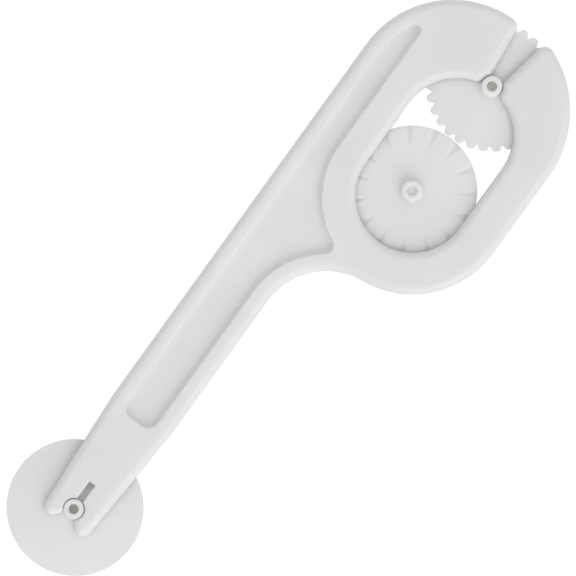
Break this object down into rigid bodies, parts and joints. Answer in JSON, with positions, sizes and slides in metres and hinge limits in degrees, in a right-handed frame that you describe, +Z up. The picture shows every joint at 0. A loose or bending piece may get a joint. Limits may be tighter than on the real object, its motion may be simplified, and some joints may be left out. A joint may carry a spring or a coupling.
{
  "type": "fondant cutting wheel",
  "caption": "Flat moulded plastic cake tool: a forked handle with a smooth cutting wheel, and a loop at its other end that stores a wavy wheel and a toothed wheel.",
  "frame": {"origin": "under the middle of the whole tool's box, on the surface that the tool lies on", "axes": "+X along the grip, from the fork towards the loop; +Z up, out of the tool's front face; +Y across the grip, away from the side the loop hangs on"},
  "size_m": [0.1904, 0.068, 0.009],
  "materials": {
    "handle_plastic": "satin, off-white",
    "wheel_plastic": "satin, off-white"
  },
  "bodies": {
    "handle": {"handle": "handle_plastic"},
    "plain_wheel": {"plain_wheel": "wheel_plastic"},
    "wavy_wheel": {"wavy_wheel": "wheel_plastic"},
    "ridged_wheel": {"ridged_wheel": "wheel_plastic"}
  },
  "joints": [
    {"name": "plain_wheel_spin", "type": "hinge", "parent": "handle", "child": "plain_wheel", "pos_m": [-0.07702, 0.0159, 0.0045], "axis": [0, 0, 1], "continuous": true},
    {"name": "wavy_wheel_spin", "type": "hinge", "parent": "handle", "child": "wavy_wheel", "pos_m": [0.04314, -0.00715, 0.0045], "axis": [0, 0, 1], "continuous": true},
    {"name": "ridged_wheel_spin", "type": "hinge", "parent": "handle", "child": "ridged_wheel", "pos_m": [0.07758, -0.008, 0.0045], "axis": [0, 0, 1], "continuous": true}
  ]
}
